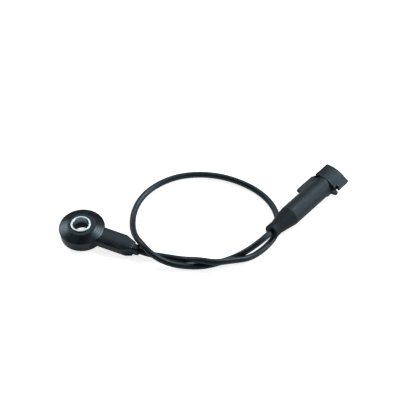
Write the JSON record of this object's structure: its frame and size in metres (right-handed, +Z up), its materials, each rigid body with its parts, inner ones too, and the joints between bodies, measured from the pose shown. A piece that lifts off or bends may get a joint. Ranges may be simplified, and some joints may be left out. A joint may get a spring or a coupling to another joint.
{
  "type": "engine knock sensor",
  "caption": "Ring-shaped engine knock sensor on a steel bolt sleeve, with a moulded arm, a short looped cable and an inline plug with an arched hood.",
  "frame": {"origin": "centre of the bolt bore at the steel contact face", "axes": "+Z up the bore towards the bolt head, +X along the arm towards the cable"},
  "size_m": [0.1302, 0.1014, 0.0131],
  "materials": {
    "housing_plastic": "satin moulded",
    "sleeve_steel": "bright turned",
    "insulator_film": "thin amber film",
    "contact_brass": "stamped",
    "piezo_ceramic": "fired, silvered faces",
    "mass_steel": "turned",
    "resistor_body": "lacquered",
    "signal_insulation": "extruded",
    "ground_insulation": "extruded",
    "cable_jacket": "extruded, satin",
    "boot_rubber": "moulded, matt",
    "connector_plastic": "satin moulded",
    "seal_rubber": "moulded silicone",
    "lock_plastic": "moulded",
    "terminal_tin": "tin plated"
  },
  "bodies": {
    "root": {"sensor_housing": "housing_plastic", "pressure_sleeve": "sleeve_steel", "insulating_tube": "insulator_film", "lower_insulator": "insulator_film", "lower_contact_disc": "contact_brass", "piezo_ring": "piezo_ceramic", "upper_contact_disc": "contact_brass", "upper_insulator": "insulator_film", "seismic_mass": "mass_steel", "disc_spring": "mass_steel", "clamp_nut": "mass_steel", "bleed_resistor": "resistor_body", "signal_crimp": "contact_brass", "ground_crimp": "contact_brass", "signal_wire": "signal_insulation", "ground_wire": "ground_insulation", "cable": "cable_jacket", "rear_boot": "boot_rubber", "connector_housing": "connector_plastic", "cable_seal": "seal_rubber", "terminal_lock": "lock_plastic", "signal_terminal": "terminal_tin", "ground_terminal": "terminal_tin", "plug_signal_wire": "signal_insulation", "plug_ground_wire": "ground_insulation"}
  },
  "joints": []
}
